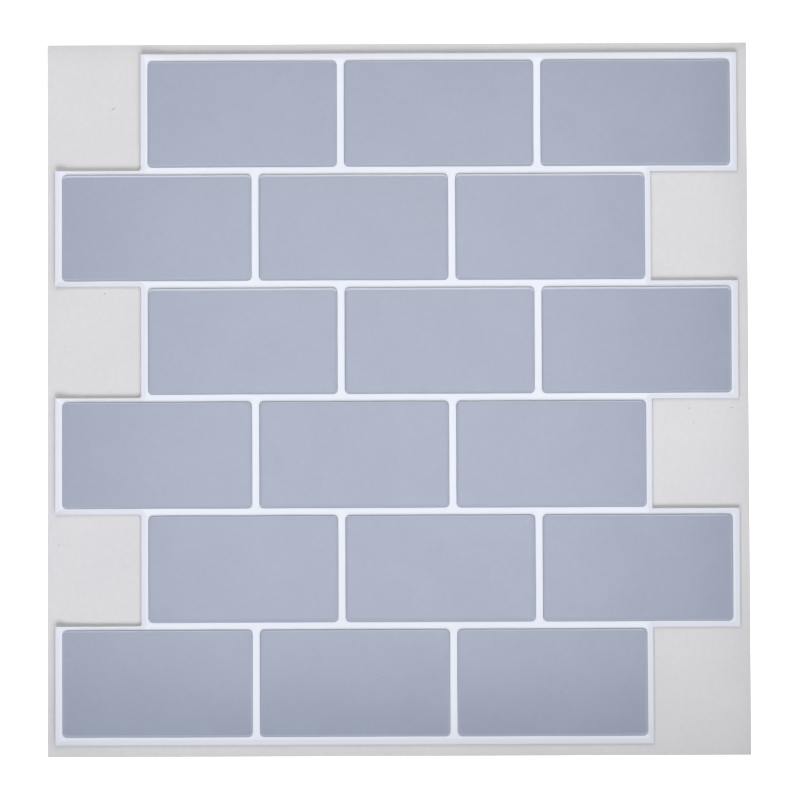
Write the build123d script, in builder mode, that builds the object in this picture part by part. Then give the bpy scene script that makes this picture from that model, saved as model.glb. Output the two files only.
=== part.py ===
from build123d import *
import os
from math import cos, radians, sin

# Self-adhesive wall tile sheet, lying flat and seen from above.
# Domed gel tiles stand on a thin white film that is cut to a stepped outline, and the film
# lies on a larger release liner.
# Millimetres. X runs across the rows, Y up the sheet, Z up out of the tiles.
# The origin is the middle of the liner's underside.

# Release liner
LINER_WIDTH = 305.0
LINER_HEIGHT = 310.0
LINER_THICKNESS = 0.15

# Tile grid, in running bond
ROWS = 6
COLUMNS = 3
TILE_WIDTH = 82.6
TILE_HEIGHT = 46.5
GROUT_GAP = 3.0
ROW_SHIFT = 37.3

# Base film
FILM_THICKNESS = 0.9
FILM_LEFT_GAP = 3.6
FILM_TOP_GAP = 4.4
SIDE_MARGIN = 2.9
RECESSED_RIGHT_MARGIN = 2.4
TOP_MARGIN = 3.0
BOTTOM_MARGIN = 3.3
LEFT_STEP_ABOVE = 1.6
LEFT_STEP_BELOW = 2.3
RIGHT_STEP_MARGIN = 2.4
STEP_CORNER_RADIUS = 1.3

# Gel tile
TILE_THICKNESS = 0.7
TILE_CORNER_RADIUS = 2.1
CONTACT_ANGLE = 60.0

# Heights and places that follow from the sizes above
FILM_BASE_Z = LINER_THICKNESS
TILE_BASE_Z = FILM_BASE_Z + FILM_THICKNESS
TILE_TOP_Z = TILE_BASE_Z + TILE_THICKNESS
PITCH_X = TILE_WIDTH + GROUT_GAP
PITCH_Y = TILE_HEIGHT + GROUT_GAP
FILM_LEFT = -LINER_WIDTH / 2 + FILM_LEFT_GAP
FILM_TOP = LINER_HEIGHT / 2 - FILM_TOP_GAP
FILM_BOTTOM = FILM_TOP - TOP_MARGIN - ROWS * PITCH_Y + GROUT_GAP - BOTTOM_MARGIN


def is_shifted(row):
    # Rows count from 0 at the top: the first, third and fifth stand out to the right.
    return row % 2 == 0


def row_left(row):
    return FILM_LEFT + SIDE_MARGIN + (ROW_SHIFT if is_shifted(row) else 0.0)


def row_right(row):
    return row_left(row) + COLUMNS * PITCH_X - GROUT_GAP


def row_top(row):
    return FILM_TOP - TOP_MARGIN - row * PITCH_Y


def row_bottom(row):
    return row_top(row) - TILE_HEIGHT


def tile_centre(row, column):
    return (
        row_left(row) + column * PITCH_X + TILE_WIDTH / 2,
        row_top(row) - TILE_HEIGHT / 2,
    )


# Film edge beside one row, on each side
def film_left(row):
    return row_left(row) - SIDE_MARGIN


def film_right(row):
    margin = SIDE_MARGIN if is_shifted(row) else RECESSED_RIGHT_MARGIN
    return row_right(row) + margin


# Height of the step between one row and the next, on each side
def left_step(row):
    if is_shifted(row):
        return row_top(row + 1) + LEFT_STEP_ABOVE
    return row_bottom(row) - LEFT_STEP_BELOW


def right_step(row):
    if is_shifted(row):
        return row_bottom(row) - RIGHT_STEP_MARGIN
    return row_top(row + 1) + RIGHT_STEP_MARGIN


# Stepped outline of the film: down the left side, then back up the right side
def film_outline():
    points = [(film_left(0), FILM_TOP)]
    for row in range(ROWS - 1):
        points.append((film_left(row), left_step(row)))
        points.append((film_left(row + 1), left_step(row)))
    points.append((film_left(ROWS - 1), FILM_BOTTOM))
    points.append((film_right(ROWS - 1), FILM_BOTTOM))
    for row in reversed(range(ROWS - 1)):
        points.append((film_right(row + 1), right_step(row)))
        points.append((film_right(row), right_step(row)))
    points.append((film_right(0), FILM_TOP))
    return points


os.makedirs("parts", exist_ok=True)

# Release liner: one plain rectangle under everything
with BuildPart() as release_liner:
    with BuildSketch(Plane.XY):
        Rectangle(LINER_WIDTH, LINER_HEIGHT)
    extrude(amount=LINER_THICKNESS)

release_liner.part.label = "release_liner"
export_step(release_liner.part, "parts/release_liner.step")

# Base film: cut with square outer corners, and rounded inner corners on the left side only
with BuildPart() as base_film:
    with BuildSketch(Plane.XY.offset(FILM_BASE_Z)) as film_face:
        with BuildLine():
            Polyline(*film_outline(), close=True)
        make_face()
        recessed_corners = film_face.vertices().group_by(Axis.X)[1]
        fillet(recessed_corners.sort_by(Axis.Y)[:-1], radius=STEP_CORNER_RADIUS)
    extrude(amount=FILM_THICKNESS)

base_film.part.label = "base_film"
export_step(base_film.part, "parts/base_film.step")

# Gel tiles: each has a flat top and an edge that rolls over and meets the film at the contact
# angle. A block wider than the tile gets the full roll, and is then cut off at the film, where
# its outline is the tile's own.
ROLL_RADIUS = TILE_THICKNESS / (1.0 - cos(radians(CONTACT_ANGLE)))
ROLL_OVERHANG = ROLL_RADIUS * (1.0 - sin(radians(CONTACT_ANGLE)))

for row in range(ROWS):
    for column in range(COLUMNS):
        name = f"gel_tile_row{row + 1}_col{column + 1}"
        with BuildPart() as gel_tile:
            with BuildSketch(Plane.XY.offset(TILE_TOP_Z)):
                with Locations(tile_centre(row, column)):
                    RectangleRounded(
                        TILE_WIDTH + 2 * ROLL_OVERHANG,
                        TILE_HEIGHT + 2 * ROLL_OVERHANG,
                        TILE_CORNER_RADIUS + ROLL_OVERHANG,
                    )
            extrude(amount=-2 * ROLL_RADIUS)
            fillet(gel_tile.faces().sort_by(Axis.Z)[-1].edges(), radius=ROLL_RADIUS)
            split(bisect_by=Plane.XY.offset(TILE_BASE_Z), keep=Keep.TOP)
        gel_tile.part.label = name
        export_step(gel_tile.part, f"parts/{name}.step")
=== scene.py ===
import math
import bmesh
import bpy
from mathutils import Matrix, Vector
from mathutils.geometry import intersect_point_line


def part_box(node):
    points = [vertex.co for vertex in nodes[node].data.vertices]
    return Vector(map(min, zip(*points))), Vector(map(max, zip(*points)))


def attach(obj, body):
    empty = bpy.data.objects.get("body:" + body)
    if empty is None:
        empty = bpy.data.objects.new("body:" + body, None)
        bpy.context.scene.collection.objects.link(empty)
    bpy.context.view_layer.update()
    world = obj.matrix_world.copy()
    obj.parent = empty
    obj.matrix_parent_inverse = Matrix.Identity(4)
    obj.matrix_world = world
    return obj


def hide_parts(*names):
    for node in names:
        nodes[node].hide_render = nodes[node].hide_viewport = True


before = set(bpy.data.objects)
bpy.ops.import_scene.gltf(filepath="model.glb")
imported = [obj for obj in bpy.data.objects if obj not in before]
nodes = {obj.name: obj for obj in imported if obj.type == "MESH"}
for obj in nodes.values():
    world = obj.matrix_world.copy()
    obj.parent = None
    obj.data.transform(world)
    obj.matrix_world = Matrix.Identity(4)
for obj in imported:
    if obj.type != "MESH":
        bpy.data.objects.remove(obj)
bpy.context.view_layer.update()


# Release liner. The real one is a sheet of off-white silicone-coated stock, a little larger
# than the tiles all round. The film is stuck to it until the sheet is hung, so it lies flat
# on the ground and shows in the steps of the film's edge. It is the solid itself, dressed.
MM = 0.001
LINER_COLOURS = ((0.573, 0.565, 0.581, 1.0), (0.624, 0.620, 0.628, 1.0))
LINER_DUST_COLOUR = (0.36, 0.35, 0.33, 1.0)
LINER_MARK_COLOUR = (0.20, 0.19, 0.17, 1.0)
LINER_ROUGHNESS = (0.46, 0.58)
LINER_GRAIN = 0.03 * MM
LINER_MARKS = (
    # x and y in millimetres, length, width, angle in degrees
    (-123.6, 127.0, 3.0, 0.5, 35.0),
    (-127.4, 46.3, 1.0, 0.8, 0.0),
    (-144.6, 23.4, 0.6, 0.4, 20.0),
    (-147.6, -62.8, 0.7, 0.5, 80.0),
    (126.6, -4.6, 1.1, 0.5, -30.0),
    (145.0, -4.4, 1.6, 0.4, 15.0),
    (128.3, -10.7, 0.8, 0.5, 60.0),
)


def new_group(name, inputs, result):
    group = bpy.data.node_groups.new(name, "ShaderNodeTree")
    for socket_name, value in inputs.items():
        kind = "NodeSocketFloat" if isinstance(value, float) else "NodeSocketVector"
        socket = group.interface.new_socket(name=socket_name, in_out="INPUT", socket_type=kind)
        socket.default_value = value
    group.interface.new_socket(name=result, in_out="OUTPUT", socket_type="NodeSocketFloat")
    return group, group.nodes.new("NodeGroupInput"), group.nodes.new("NodeGroupOutput")


# A setting called in_Some_Name is the value of the node's input "Some Name". Each link is an
# input of the node and the output that feeds it.
def add_node(tree, kind, links=(), **settings):
    node = tree.nodes.new(kind)
    for key, value in settings.items():
        if key.startswith("in_"):
            node.inputs[key[3:].replace("_", " ")].default_value = value
        else:
            setattr(node, key, value)
    for socket, source in links:
        tree.links.new(source, node.inputs[socket])
    return node


def maths(tree, operation, first, second=None, clamp=False):
    node = add_node(tree, "ShaderNodeMath", operation=operation, use_clamp=clamp)
    for socket, value in zip(node.inputs, (first, second)):
        if isinstance(value, (int, float)):
            socket.default_value = value
        elif value is not None:
            tree.links.new(value, socket)
    return node.outputs[0]


def ramp(tree, value, start, end, low=0.0, high=1.0, **settings):
    node = add_node(
        tree, "ShaderNodeMapRange", [("Value", value)],
        in_From_Min=start, in_From_Max=end, in_To_Min=low, in_To_Max=high, **settings,
    )
    return node.outputs[0]


# Cloudy variation of a sheet material: a broad drift with a finer cloud on top, about 0 to 1
def make_cloud_group():
    group, entry, leave = new_group(
        "sheet_cloud",
        {"Vector": (0.0, 0.0, 0.0), "Broad Scale": 20.0, "Fine Scale": 200.0, "Fine Share": 0.3},
        "Value",
    )
    place = ("Vector", entry.outputs["Vector"])
    broad = add_node(
        group, "ShaderNodeTexNoise", [place, ("Scale", entry.outputs["Broad Scale"])],
        in_Detail=3.0, in_Roughness=0.5,
    )
    fine = add_node(
        group, "ShaderNodeTexNoise", [place, ("Scale", entry.outputs["Fine Scale"])],
        in_Detail=4.0, in_Roughness=0.6,
    )
    both = add_node(
        group, "ShaderNodeMix",
        [(0, entry.outputs["Fine Share"]), (2, broad.outputs[0]), (3, fine.outputs[0])],
        data_type="FLOAT",
    )
    cloud = ramp(group, both.outputs[0], start=0.3, end=0.7)
    group.links.new(cloud, leave.inputs["Value"])
    return group


# Dust and tiny inclusions: one soft dot in a few of the cells, 1 on a dot and 0 elsewhere.
# A dot is 0.4 to 1.4 times as large as Radius says.
def make_speck_group():
    group, entry, leave = new_group(
        "dust_specks",
        {"Vector": (0.0, 0.0, 0.0), "Cells": 60.0, "Radius": 0.03, "Share": 0.1},
        "Mask",
    )
    cells = add_node(
        group, "ShaderNodeTexVoronoi",
        [("Vector", entry.outputs["Vector"]), ("Scale", entry.outputs["Cells"])],
        voronoi_dimensions="2D",
    )
    chance = add_node(group, "ShaderNodeSeparateColor", [("Color", cells.outputs["Color"])])
    times = maths(group, "ADD", chance.outputs[1], 0.4)
    size = maths(group, "MULTIPLY", entry.outputs["Radius"], times)
    reach = maths(group, "DIVIDE", cells.outputs["Distance"], size)
    dot = maths(group, "SUBTRACT", 1.0, reach, clamp=True)
    chosen = maths(group, "LESS_THAN", chance.outputs[0], entry.outputs["Share"])
    group.links.new(maths(group, "MULTIPLY", dot, chosen), leave.inputs["Mask"])
    return group


# A short scratch or scuff at a place on the sheet, 1 along its middle and 0 outside it
def make_mark_group():
    group, entry, leave = new_group(
        "scuff_mark",
        {"Vector": (0.0, 0.0, 0.0), "Place": (0.0, 0.0, 0.0), "Turn": 0.0,
         "Half Length": 1.0 * MM, "Half Width": 0.2 * MM},
        "Mask",
    )
    from_place = add_node(
        group, "ShaderNodeVectorMath",
        [(0, entry.outputs["Vector"]), (1, entry.outputs["Place"])],
        operation="SUBTRACT",
    )
    turned = add_node(
        group, "ShaderNodeVectorRotate",
        [("Vector", from_place.outputs[0]), ("Angle", entry.outputs["Turn"])],
        rotation_type="Z_AXIS",
    )
    axes = add_node(group, "ShaderNodeSeparateXYZ", [("Vector", turned.outputs[0])])
    along = maths(group, "DIVIDE", axes.outputs[0], entry.outputs["Half Length"])
    across = maths(group, "DIVIDE", axes.outputs[1], entry.outputs["Half Width"])
    reach = maths(
        group, "ADD", maths(group, "POWER", along, 2.0), maths(group, "POWER", across, 2.0)
    )
    group.links.new(maths(group, "SUBTRACT", 1.0, reach, clamp=True), leave.inputs["Mask"])
    return group


sheet_cloud = make_cloud_group()
dust_specks = make_speck_group()
scuff_mark = make_mark_group()


def new_material(name):
    material = bpy.data.materials.new(name)
    material.use_nodes = True
    tree = material.node_tree
    place = tree.nodes.new("ShaderNodeTexCoord").outputs["Object"]
    return material, tree, tree.nodes["Principled BSDF"], place


def place_group(tree, group, place, **values):
    node = tree.nodes.new("ShaderNodeGroup")
    node.node_tree = group
    tree.links.new(place, node.inputs["Vector"])
    for key, value in values.items():
        node.inputs[key.replace("_", " ")].default_value = value
    return node.outputs[0]


def mix_colours(tree, share, first, second):
    mix = add_node(tree, "ShaderNodeMix", data_type="RGBA")
    for socket, value in zip((mix.inputs[0], mix.inputs[6], mix.inputs[7]), (share, first, second)):
        if hasattr(value, "is_linked"):
            tree.links.new(value, socket)
        else:
            socket.default_value = value
    return mix.outputs[2]


def tint(tree, colour, mask, other, strength):
    return mix_colours(tree, maths(tree, "MULTIPLY", mask, strength), colour, other)


def add_marks(tree, place, marks):
    total = None
    for x, y, length, width, angle in marks:
        mask = place_group(
            tree, scuff_mark, place,
            Place=(x * MM, y * MM, 0.0),
            Turn=-math.radians(angle),
            Half_Length=length / 2 * MM,
            Half_Width=width / 2 * MM,
        )
        total = mask if total is None else maths(tree, "MAXIMUM", total, mask)
    return total


def set_surface(tree, shader, colour, cloud, roughness):
    tree.links.new(colour, shader.inputs["Base Color"])
    tree.links.new(ramp(tree, cloud, 0.0, 1.0, *roughness), shader.inputs["Roughness"])


def add_bump(tree, shader, height, distance, strength, links=()):
    bump = add_node(
        tree, "ShaderNodeBump", [("Height", height), *links],
        in_Strength=strength, in_Distance=distance,
    )
    tree.links.new(bump.outputs[0], shader.inputs["Normal"])


liner_coat, tree, shader, place = new_material("silicone_coated_liner")
cloud = place_group(tree, sheet_cloud, place, Broad_Scale=26.0, Fine_Scale=420.0, Fine_Share=0.5)
dust = place_group(tree, dust_specks, place, Cells=130.0, Radius=0.035, Share=0.12)
marks = add_marks(tree, place, LINER_MARKS)
colour = mix_colours(tree, cloud, *LINER_COLOURS)
colour = tint(tree, colour, dust, LINER_DUST_COLOUR, strength=0.35)
colour = tint(tree, colour, marks, LINER_MARK_COLOUR, strength=0.85)
set_surface(tree, shader, colour, cloud, LINER_ROUGHNESS)
add_bump(tree, shader, cloud, distance=LINER_GRAIN, strength=0.5)
shader.inputs["Specular IOR Level"].default_value = 0.3
nodes["release_liner"].data.materials.clear()
nodes["release_liner"].data.materials.append(liner_coat)


# Base film. The real one is white vinyl, cut with a steel rule to a stepped outline and
# carrying the gel tiles. It stays flat under the gel. Its free margin has lifted off the
# liner a little all round, and most at its leftmost edges and beside the first row.
FILM_COLOURS = ((0.688, 0.716, 0.778, 1.0), (0.715, 0.742, 0.804, 1.0))
# The free margin is painted greyer than the film between the tiles: painted shade
MARGIN_SHADE_COLOUR = (0.633, 0.651, 0.719, 1.0)
# The white vinyl's cut edge is painted dark grey, as painted shade that deepens the shadows beside
# the film
CUT_EDGE_SHADE_COLOUR = (0.28, 0.27, 0.26, 1.0)
FILM_DUST_COLOUR = (0.42, 0.42, 0.44, 1.0)
FILM_ROUGHNESS = (0.36, 0.46)
FILM_GRAIN = 0.02 * MM
TOP_LIFT = 0.20 * MM
LEFT_LIFT = 0.60 * MM
EDGE_LIFT = 0.05 * MM
LIFT_WIDTH = 2.7 * MM
LIFT_LOOPS = (0.3, 0.7, 1.2, 1.7, 2.2, 2.7)
CUT_STEP = 6.0 * MM
LONG_EDGE = 10 * MM
NEARLY = 0.01 * MM
# How far from the film's top and left edges, or from the first row's own left end, each lift
# is still full, and how far away it has died out
FIRST_ROW_DOWN = (30 * MM, 60 * MM)
FIRST_ROW_IN = (0.0, 10 * MM)
LEFT_IN = (2 * MM, 8 * MM)
TOP_DOWN = (3 * MM, 12 * MM)
# The margin's painted shade, a greyer colour, is full over most of it and blends out at its inner
# edge
MARGIN_BLEND = 2.5
# A face is the cut edge, painted dark as shade, where its normal rises less than this
CUT_EDGE_RISE = 0.5


def only_select(*objects):
    bpy.ops.object.select_all(action="DESELECT")
    for item in objects:
        item.select_set(True)
    bpy.context.view_layer.objects.active = objects[0]


def cut_across(along, places):
    for position in places:
        bpy.ops.mesh.select_all(action="SELECT")
        normal = Vector((0.0, 0.0, 0.0))
        normal[along] = 1.0
        bpy.ops.mesh.bisect(plane_co=normal * position, plane_no=normal, threshold=NEARLY)


def spaced(start, end, step):
    count = max(1, round((end - start) / step))
    return [start + (end - start) * i / count for i in range(1, count)]


film_low, film_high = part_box("base_film")
first_low, first_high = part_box("gel_tile_row1_col1")

only_select(nodes["base_film"])
bpy.ops.object.duplicate()
film = bpy.context.active_object
film.name = "white_film"
film.parent = None
bpy.ops.object.mode_set(mode="EDIT")
bpy.ops.mesh.select_all(action="SELECT")
bpy.ops.mesh.remove_doubles(threshold=0.005 * MM)
bpy.ops.mesh.dissolve_limited(angle_limit=math.radians(1.0))
bpy.ops.object.mode_set(mode="OBJECT")

# The mesh is cut parallel to each long edge, closely within the margin, and across the middle
# at even steps, so that the margin can bend
points = [vertex.co.copy() for vertex in film.data.vertices]
cut_edges = [
    (points[edge.vertices[0]], points[edge.vertices[1]])
    for edge in film.data.edges
    if min(points[i].z for i in edge.vertices) > film_high.z - NEARLY
]
across = set()
along = set()
for start, end in cut_edges:
    for loop in LIFT_LOOPS:
        for side in (-1, 1):
            if abs(start.x - end.x) < NEARLY and abs(start.y - end.y) > LONG_EDGE:
                across.add(round(start.x / MM + side * loop, 2))
            if abs(start.y - end.y) < NEARLY and abs(start.x - end.x) > LONG_EDGE:
                along.add(round(start.y / MM + side * loop, 2))
bpy.ops.object.mode_set(mode="EDIT")
cut_across(0, [x * MM for x in sorted(across)] + spaced(film_low.x, film_high.x, CUT_STEP))
cut_across(1, [y * MM for y in sorted(along)] + spaced(film_low.y, film_high.y, CUT_STEP))
bpy.ops.object.mode_set(mode="OBJECT")


def edge_distance(place):
    flat = Vector((place.x, place.y, film_high.z))
    nearest = LIFT_WIDTH
    for start, end in cut_edges:
        foot, share = intersect_point_line(flat, start, end)
        foot = start.lerp(end, min(1.0, max(0.0, share)))
        nearest = min(nearest, (flat - foot).length)
    return nearest


def fall(value, full, none):
    share = min(1.0, max(0.0, (none - value) / (none - full)))
    return share * share * (3.0 - 2.0 * share)


def margin_lift(place):
    down = film_high.y - place.y
    beside_first = fall(down, *FIRST_ROW_DOWN) * fall(place.x - first_low.x, *FIRST_ROW_IN)
    beside_left = fall(place.x - film_low.x, *LEFT_IN)
    along_top = fall(down, *TOP_DOWN)
    return max(TOP_LIFT * along_top, LEFT_LIFT * max(beside_first, beside_left), EDGE_LIFT)


# Each point's share is 1 at the cut edge and 0 from the lift's width inwards. Above the first
# row the margin rises sooner, so its share is rounded up.
edge_shares = [1.0 - edge_distance(vertex.co) / LIFT_WIDTH for vertex in film.data.vertices]
# Each point's share of the margin's painted shade, full near the cut edge
free_margin = film.data.attributes.new(name="free_margin", type="FLOAT", domain="POINT")
free_margin.data.foreach_set("value", [min(1.0, MARGIN_BLEND * share) for share in edge_shares])
curl = film.vertex_groups.new(name="lifted_margin")
for vertex, share in zip(film.data.vertices, edge_shares):
    if vertex.co.y > first_high.y:
        share = 1.0 - (1.0 - share) ** 2
    curl.add([vertex.index], share * margin_lift(vertex.co) / LEFT_LIFT, "REPLACE")
lift = film.modifiers.new("lift", "DISPLACE")
lift.direction = "Z"
lift.strength = LEFT_LIFT
lift.mid_level = 0.0
lift.vertex_group = "lifted_margin"
bpy.ops.object.modifier_apply(modifier=lift.name)
bpy.ops.object.shade_smooth_by_angle(angle=math.radians(25.0))

vinyl, tree, shader, place = new_material("white_vinyl_film")
cloud = place_group(tree, sheet_cloud, place, Broad_Scale=18.0, Fine_Scale=900.0, Fine_Share=0.25)
dust = place_group(tree, dust_specks, place, Cells=170.0, Radius=0.03, Share=0.05)
# Painted shade: the free margin is mixed towards a greyer colour
margin = add_node(tree, "ShaderNodeAttribute", attribute_name="free_margin").outputs["Fac"]
colour = mix_colours(tree, margin, mix_colours(tree, cloud, *FILM_COLOURS), MARGIN_SHADE_COLOUR)
colour = tint(tree, colour, dust, FILM_DUST_COLOUR, strength=0.3)
normal = add_node(tree, "ShaderNodeSeparateXYZ", [("Vector", place.node.outputs["Normal"])])
is_cut_edge = maths(tree, "LESS_THAN", maths(tree, "ABSOLUTE", normal.outputs[2]), CUT_EDGE_RISE)
# Painted shade: the cut edge is dark grey, not the film's white
colour = mix_colours(tree, is_cut_edge, colour, CUT_EDGE_SHADE_COLOUR)
set_surface(tree, shader, colour, cloud, FILM_ROUGHNESS)
add_bump(tree, shader, cloud, distance=FILM_GRAIN, strength=0.4)
shader.inputs["Specular IOR Level"].default_value = 0.3
film.data.materials.clear()
film.data.materials.append(vinyl)
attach(film, "root")
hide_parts("base_film")


# Gel tiles. Each real one is a pad of tinted resin poured on the film, where it set with a
# flat glossy top and an edge rolled by its own surface tension, so no two edges are quite
# straight. One is shaped as a block with a full roll, cut off at the film, and then copied.
TILE_ROUND = 2.1 * MM
CONTACT_ANGLE = math.radians(60.0)
PLAN_WAVER = 0.22 * MM
TOP_WAVER = 0.03 * MM
TILE_GRID = 4.0 * MM
SHOULDER = 1.5 * MM
VERY_NEARLY = 0.001 * MM
GEL_COLOURS = ((0.2765, 0.3075, 0.3895, 1.0), (0.2995, 0.3325, 0.4215, 1.0))
GEL_DUST_COLOUR = (0.5, 0.52, 0.56, 1.0)
PALE_MOTE_COLOUR = (0.62, 0.64, 0.68, 1.0)
DARK_MOTE_COLOUR = (0.12, 0.13, 0.16, 1.0)
GEL_ROUGHNESS = (0.45, 0.60)
GEL_GRAIN = 0.01 * MM
PALE_MOTES = (
    # x and y in millimetres, length, width, angle in degrees
    (72.8, -126.9, 0.6, 0.5, 0.0),
    (55.6, -53.8, 0.6, 0.5, 30.0),
)
DARK_MOTES = (
    (-6.8, -120.8, 0.7, 0.6, 0.0),
)
# At its rolled edge the gel is thin, and the white film shows through it and pales the tint. The
# colour is also lighter than the thin gel alone would make it, as painted light for the light that
# the rolled edge misses.
# The rims are painted with highlights by which way they lean: the front rims are lighter, the back
# rims palest, and the back rims and shoulders of the second and third rows nearly white.
THIN_GEL_AND_PAINTED_LIGHT_COLOUR = (0.400, 0.433, 0.508, 1.0)
FRONT_RIM_HIGHLIGHT_COLOUR = (0.362, 0.398, 0.492, 1.0)
BACK_RIM_HIGHLIGHT_COLOUR = (0.520, 0.560, 0.660, 1.0)
SHOULDER_HIGHLIGHT_COLOUR = (0.520, 0.550, 0.630, 1.0)
BRIGHT_RIM_HIGHLIGHT_COLOUR = (0.690, 0.720, 0.790, 1.0)
# The painted highlights of those two rows' back rims lie between these places up the sheet
HIGHLIGHT_LOW = 35 * MM
HIGHLIGHT_HIGH = 108 * MM
HIGHLIGHT_BLEND = 25 * MM
# How far the surface leans to the back, negative to the front, where a rim's painted highlight
# begins and where it is full
FRONT_RIM_LEAN = (-0.02, -0.15)
SHOULDER_LEAN = (0.02, 0.12)
BACK_RIM_LEAN = (0.22, 0.44)

tile_low, tile_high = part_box("gel_tile_row1_col1")
tile_size = tile_high - tile_low
tile_middle = (tile_low + tile_high) / 2
roll = tile_size.z / (1.0 - math.cos(CONTACT_ANGLE))
overhang = roll * (1.0 - math.sin(CONTACT_ANGLE))
block_depth = 2 * roll
rim_height = tile_high.z - VERY_NEARLY


def select_edges(mesh_object, wanted):
    shape = bmesh.from_edit_mesh(mesh_object.data)
    for part in (shape.faces, shape.edges, shape.verts):
        for item in part:
            item.select = False
    for edge in shape.edges:
        if wanted(edge.verts[0].co, edge.verts[1].co):
            edge.select_set(True)
    bmesh.update_edit_mesh(mesh_object.data)


bpy.ops.object.select_all(action="DESELECT")
bpy.ops.mesh.primitive_cube_add(
    size=1.0,
    location=(tile_middle.x, tile_middle.y, tile_high.z - block_depth / 2),
    scale=(tile_size.x + 2 * overhang, tile_size.y + 2 * overhang, block_depth),
)
pattern = bpy.context.active_object
bpy.ops.object.transform_apply(location=True, rotation=True, scale=True)
bpy.ops.object.mode_set(mode="EDIT")
bpy.ops.mesh.select_mode(type="EDGE")
select_edges(pattern, lambda a, b: abs(a.z - b.z) > roll)
bpy.ops.mesh.bevel(offset=TILE_ROUND + overhang, segments=8, profile=0.5, affect="EDGES")
select_edges(pattern, lambda a, b: a.z > rim_height and b.z > rim_height)
bpy.ops.mesh.bevel(offset=roll, segments=14, profile=0.5, affect="EDGES")
bpy.ops.mesh.select_all(action="SELECT")
bpy.ops.mesh.bisect(
    plane_co=(0.0, 0.0, tile_low.z), plane_no=(0.0, 0.0, 1.0),
    threshold=VERY_NEARLY, clear_inner=True, use_fill=True,
)
for axis in (0, 1):
    inner = (tile_low[axis] + SHOULDER, tile_high[axis] - SHOULDER)
    cut_across(axis, [inner[0], *spaced(*inner, TILE_GRID), inner[1]])
bpy.ops.object.mode_set(mode="OBJECT")

top_share = pattern.vertex_groups.new(name="top_surface")
for vertex in pattern.data.vertices:
    height_share = max(0.0, (vertex.co.z - tile_low.z) / tile_size.z)
    top_share.add([vertex.index], height_share ** 2, "REPLACE")


def new_clouds(name, size, depth):
    clouds = bpy.data.textures.new(name, "CLOUDS")
    clouds.noise_scale = size
    clouds.noise_depth = depth
    return clouds


plan_cloud = new_clouds("plan_cloud", size=0.030, depth=2)
side_cloud = new_clouds("side_cloud", size=0.024, depth=2)
top_cloud = new_clouds("top_cloud", size=0.020, depth=1)

gel, tree, shader, place = new_material("tinted_gel")
cloud = place_group(tree, sheet_cloud, place, Broad_Scale=45.0, Fine_Scale=420.0, Fine_Share=0.5)
pale_motes = add_marks(tree, place, PALE_MOTES)
dark_motes = add_marks(tree, place, DARK_MOTES)
dust = place_group(tree, dust_specks, place, Cells=110.0, Radius=0.02, Share=0.05)
axes = add_node(tree, "ShaderNodeSeparateXYZ", [("Vector", place)])
normal = add_node(tree, "ShaderNodeSeparateXYZ", [("Vector", place.node.outputs["Normal"])])
lean = normal.outputs[1]
thin = ramp(tree, axes.outputs[2], tile_high.z, tile_low.z)
# Painted highlight: the back rims and shoulders of the second and third rows are near white
highlight_rows = maths(
    tree, "MINIMUM",
    ramp(tree, axes.outputs[1], HIGHLIGHT_LOW - HIGHLIGHT_BLEND, HIGHLIGHT_LOW),
    ramp(tree, axes.outputs[1], HIGHLIGHT_HIGH + HIGHLIGHT_BLEND, HIGHLIGHT_HIGH),
)
shoulder_highlight = maths(tree, "MULTIPLY", highlight_rows, ramp(tree, lean, *SHOULDER_LEAN))
back_rim_highlight = mix_colours(tree, highlight_rows, BACK_RIM_HIGHLIGHT_COLOUR, BRIGHT_RIM_HIGHLIGHT_COLOUR)
colour = mix_colours(tree, cloud, *GEL_COLOURS)
# Painted highlights on the rims, by which way the surface leans
colour = mix_colours(tree, ramp(tree, lean, *FRONT_RIM_LEAN), colour, FRONT_RIM_HIGHLIGHT_COLOUR)
colour = mix_colours(tree, shoulder_highlight, colour, SHOULDER_HIGHLIGHT_COLOUR)
colour = mix_colours(tree, ramp(tree, lean, *BACK_RIM_LEAN), colour, back_rim_highlight)
# Partly real and partly painted light: the rolled edge is paled where the gel thins, and lightened
# further for the light it misses
colour = mix_colours(tree, thin, colour, THIN_GEL_AND_PAINTED_LIGHT_COLOUR)
colour = tint(tree, colour, dust, GEL_DUST_COLOUR, strength=0.25)
colour = tint(tree, colour, pale_motes, PALE_MOTE_COLOUR, strength=0.6)
colour = tint(tree, colour, dark_motes, DARK_MOTE_COLOUR, strength=0.5)
set_surface(tree, shader, colour, cloud, GEL_ROUGHNESS)

# The tint lies within the gel and is lit as if the pad were flat. Only the gloss, a coat on
# top of it, follows the rolled edge.
upward = add_node(tree, "ShaderNodeCombineXYZ", in_Z=1.0)
turned = add_node(
    tree, "ShaderNodeVectorTransform", [("Vector", upward.outputs[0])],
    vector_type="NORMAL", convert_from="OBJECT", convert_to="WORLD",
)
add_bump(
    tree, shader, cloud, distance=GEL_GRAIN, strength=0.3, links=[("Normal", turned.outputs[0])]
)
shader.inputs["Specular IOR Level"].default_value = 0.0
shader.inputs["Coat Weight"].default_value = 1.0
shader.inputs["Coat Roughness"].default_value = 0.12
shader.inputs["Coat IOR"].default_value = 1.5
pattern.data.materials.append(gel)


def add_waver(target, texture, direction, strength, mid_level, group=""):
    waver = target.modifiers.new("waver_" + direction.lower(), "DISPLACE")
    waver.texture = texture
    waver.texture_coords = "LOCAL"
    waver.direction = direction
    waver.strength = strength
    waver.mid_level = mid_level
    waver.vertex_group = group
    bpy.ops.object.modifier_apply(modifier=waver.name)


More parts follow.
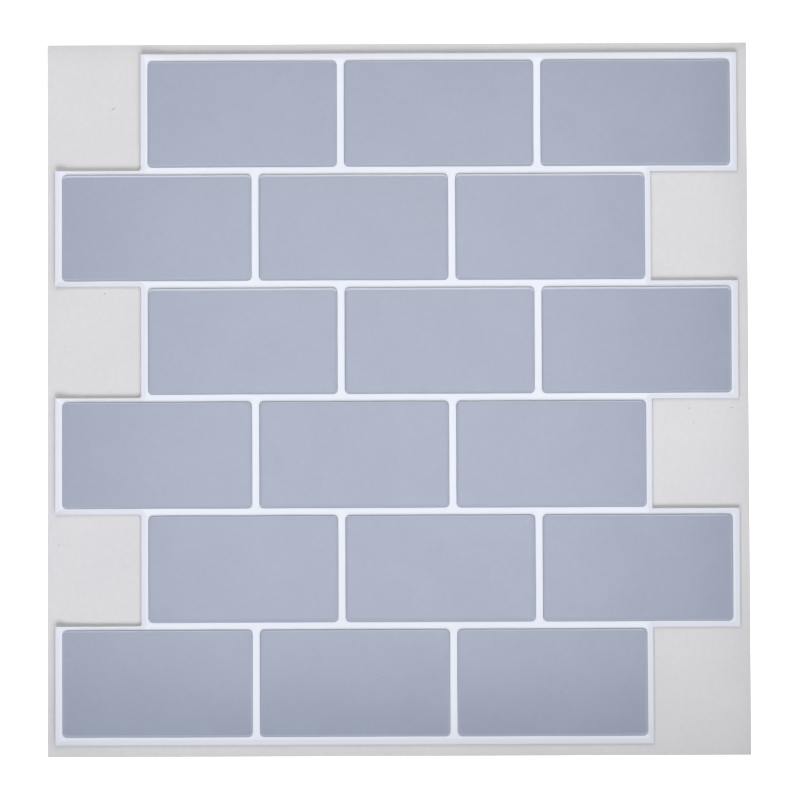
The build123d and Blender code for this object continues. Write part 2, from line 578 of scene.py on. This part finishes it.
for node_name in sorted(nodes):
    if not node_name.startswith("gel_tile"):
        continue
    low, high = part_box(node_name)
    only_select(pattern)
    bpy.ops.object.duplicate()
    tile = bpy.context.active_object
    tile.name = node_name.replace("gel_tile", "gel_pad")
    tile.location = low - tile_low
    bpy.ops.object.transform_apply(location=True, rotation=True, scale=True)
    add_waver(tile, plan_cloud, "X", PLAN_WAVER, mid_level=0.5)
    add_waver(tile, side_cloud, "Y", PLAN_WAVER, mid_level=0.5)
    add_waver(tile, top_cloud, "Z", TOP_WAVER, mid_level=1.0, group="top_surface")
    bpy.ops.object.shade_smooth_by_angle(angle=math.radians(40.0))
    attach(tile, "root")
    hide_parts(node_name)
bpy.data.objects.remove(pattern)


# Studio. A plain white table under one large panel whose edges fade. The strong lamps, in
# front and behind, are kept out of the gel's gloss, which mirrors the panel, the weaker side
# lamps, and dimmer boards in the same directions.
TABLE_GLOW = 0.5
TABLE_WHITENING = 0.45

scene = bpy.context.scene
scene.view_settings.view_transform = "Standard"

# The table glows a little, and more for the camera alone, so that the ground of the picture is
# pure white and no card's shadow shows on it.
bpy.ops.object.select_all(action="DESELECT")
bpy.ops.mesh.primitive_plane_add(size=6.0, location=(0.0, 0.0, 0.0))
table = bpy.context.active_object
table.name = "white_table"
table_paint, tree, shader, _ = new_material("white_table_paint")
shader.inputs["Base Color"].default_value = (0.92, 0.92, 0.92, 1.0)
shader.inputs["Roughness"].default_value = 0.9
seen = tree.nodes.new("ShaderNodeLightPath").outputs["Is Camera Ray"]
whitening = maths(tree, "MULTIPLY", seen, TABLE_WHITENING)
tree.links.new(maths(tree, "ADD", whitening, TABLE_GLOW), shader.inputs["Emission Color"])
shader.inputs["Emission Strength"].default_value = 1.0
table.data.materials.append(table_paint)

# Sides of the panel, in metres, each with the line where its light begins to fade. The far
# side fades so slowly that it is still lit at its edge.
PANEL_HEIGHT = 1.6
PANEL_LEFT, LEFT_FADE = -0.50, -0.15
PANEL_RIGHT, RIGHT_FADE = 0.42, 0.11
PANEL_NEAR, NEAR_FADE = -0.285, -0.18
PANEL_FAR, FAR_FADE, FAR_DARK = 0.42, 0.15, 0.75
PANEL_GLOW = 3.0


def fade(tree, value, full, dark):
    return ramp(tree, value, full, dark, low=1.0, high=0.0, interpolation_type="SMOOTHSTEP")


bpy.ops.object.select_all(action="DESELECT")
bpy.ops.mesh.primitive_plane_add(
    size=1.0,
    location=((PANEL_LEFT + PANEL_RIGHT) / 2, (PANEL_NEAR + PANEL_FAR) / 2, PANEL_HEIGHT),
    rotation=(math.pi, 0.0, 0.0),
)
panel = bpy.context.active_object
panel.scale = (PANEL_RIGHT - PANEL_LEFT, PANEL_FAR - PANEL_NEAR, 1.0)
panel.name = "overhead_panel"
bpy.ops.object.transform_apply(location=True, rotation=True, scale=True)
panel_glow = bpy.data.materials.new("panel_glow")
panel_glow.use_nodes = True
tree = panel_glow.node_tree
tree.nodes.remove(tree.nodes["Principled BSDF"])
place = tree.nodes.new("ShaderNodeTexCoord").outputs["Object"]
axes = add_node(tree, "ShaderNodeSeparateXYZ", [("Vector", place)])
sides_fade = maths(
    tree, "MULTIPLY",
    fade(tree, axes.outputs[0], RIGHT_FADE, PANEL_RIGHT),
    fade(tree, axes.outputs[0], LEFT_FADE, PANEL_LEFT),
)
ends_fade = maths(
    tree, "MULTIPLY",
    fade(tree, axes.outputs[1], NEAR_FADE, PANEL_NEAR),
    fade(tree, axes.outputs[1], FAR_FADE, FAR_DARK),
)
glow = maths(tree, "MULTIPLY", maths(tree, "MULTIPLY", sides_fade, ends_fade), PANEL_GLOW)
emission = add_node(tree, "ShaderNodeEmission", [("Strength", glow)])
tree.links.new(emission.outputs[0], tree.nodes["Material Output"].inputs["Surface"])
panel.data.materials.append(panel_glow)
panel.visible_camera = False


# Places and sizes in metres. A lamp lights the sheet, and a board is only mirrored in it.
def add_lamp(name, place, size, glow, colour=(1.0, 1.0, 1.0), aim=(0.0, 0.0, 0.0), mirrored=True):
    width, height = size
    lamp_data = bpy.data.lights.new(name, "AREA")
    lamp_data.shape = "RECTANGLE"
    lamp_data.size = width
    lamp_data.size_y = height
    lamp_data.energy = glow * math.pi * width * height
    lamp_data.color = colour
    lamp = bpy.data.objects.new(name, lamp_data)
    scene.collection.objects.link(lamp)
    lamp.location = place
    lamp.rotation_euler = (Vector(aim) - Vector(place)).to_track_quat("-Z", "Y").to_euler()
    lamp.visible_camera = False
    lamp.visible_glossy = mirrored
    return lamp


def add_board(name, place, size, glow, aim=(0.0, 0.0, 0.0)):
    add_lamp(name, place, size, glow, aim=aim).visible_diffuse = False


FRONT = (0.0, -2.15, 1.15)
COOL = (0.97, 1.0, 1.07)
WARM = (1.05, 1.0, 0.93)
add_lamp("front_lamp", FRONT, size=(2.8, 1.0), glow=9.0, colour=COOL, mirrored=False)
add_board("front_board", FRONT, size=(2.8, 1.0), glow=1.5)
add_lamp(
    "back_lamp", (-0.05, 0.99, 0.89), size=(0.9, 0.55), glow=3.9, colour=WARM, mirrored=False
)
add_lamp("left_lamp", (-0.9, 0.1, 0.94), size=(1.15, 0.86), glow=0.45)
add_lamp("right_lamp", (1.25, -0.1, 1.05), size=(1.6, 1.0), glow=1.1)
add_board("high_back_board", (0.0, 0.74, 1.34), size=(1.2, 0.72), glow=1.4)
add_board("low_back_board", (0.0, 1.25, 0.74), size=(1.3, 1.15), glow=2.0)
add_board("left_board", (-0.98, 0.0, 1.085), size=(1.1, 1.40), glow=1.2, aim=(0.31, 0.0, 0.0))
add_board("right_board", (0.90, 0.0, 1.085), size=(1.1, 1.40), glow=1.6, aim=(-0.39, 0.0, 0.0))

# Dark cards stand on the table round the picture's edge, at the front and its corners, on the
# right and at the back. They keep a little of the low light off the sheet, and neither the
# camera nor the gloss sees them.
card_paint, _, shader, _ = new_material("dark_card")
shader.inputs["Base Color"].default_value = (0.05, 0.05, 0.05, 1.0)
for name, middle, turn, length, height in (
    ("front_card", (-0.05, -0.220), 0.0, 0.46, 0.029),
    ("left_corner_card", (-0.28, -0.300), 0.0, 0.40, 0.078),
    ("right_corner_card", (0.25, -0.300), 0.0, 0.50, 0.085),
    ("right_card", (0.173, 0.0), math.pi / 2, 0.34, 0.024),
    ("back_card", (0.0, 0.175), 0.0, 0.34, 0.019),
):
    bpy.ops.object.select_all(action="DESELECT")
    bpy.ops.mesh.primitive_plane_add(
        size=1.0, location=(*middle, height / 2), rotation=(math.pi / 2, 0.0, turn)
    )
    card = bpy.context.active_object
    card.scale = (length, height, 1.0)
    card.name = name
    card.data.materials.append(card_paint)
    card.visible_camera = False
    card.visible_glossy = False

FILL = 0.17
world = bpy.data.worlds.new("studio_fill")
world.use_nodes = True
background = world.node_tree.nodes["Background"]
background.inputs["Color"].default_value = (1.0, 1.0, 1.0, 1.0)
background.inputs["Strength"].default_value = FILL
scene.world = world


# Camera. It looks almost straight down from 1.3 m through a long lens, from the place that
# was fitted to the edges of all eighteen tiles in the photo.
CAMERA_PLACE = (0.00369, -0.03895, 1.300)
CAMERA_TURN_DEGREES = (1.6927, 0.1312, -0.2345)
LENS_MM = 134.59
SENSOR_MM = 36.0

camera_data = bpy.data.cameras.new("camera")
camera_data.lens = LENS_MM
camera_data.sensor_width = SENSOR_MM
camera_data.clip_end = 20.0
camera = bpy.data.objects.new("camera", camera_data)
scene.collection.objects.link(camera)
camera.location = CAMERA_PLACE
camera.rotation_euler = [math.radians(angle) for angle in CAMERA_TURN_DEGREES]
scene.camera = camera
